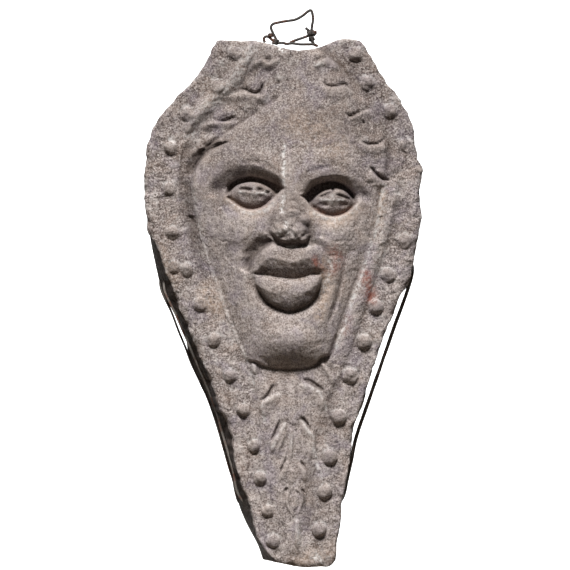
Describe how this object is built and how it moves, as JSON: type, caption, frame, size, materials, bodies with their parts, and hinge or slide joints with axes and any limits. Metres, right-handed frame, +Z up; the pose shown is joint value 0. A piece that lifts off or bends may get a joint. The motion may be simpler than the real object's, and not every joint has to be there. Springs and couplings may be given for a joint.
{
  "type": "green man mask",
  "caption": "Carved stone relief of a leafy face in a studded, kite-shaped border, slung in iron wire with a wire bail to hang it by.",
  "frame": {"origin": "on the wall: the middle of the flat pad of the back, a little below the middle of the stone", "axes": "+Z up the stone, towards the bail; +Y from the back of the stone into the wall; the carved front faces -Y"},
  "size_m": [0.3168, 0.106, 0.6373],
  "materials": {
    "stone": "tooled and long weathered, coarse grained grey-brown stone",
    "iron_wire": "drawn iron wire, darkened, with rust at the knots"
  },
  "bodies": {
    "root": {"stone_mask": "stone", "sling_wire_outer": "iron_wire", "sling_wire_inner": "iron_wire", "hanging_bail": "iron_wire"}
  },
  "joints": []
}
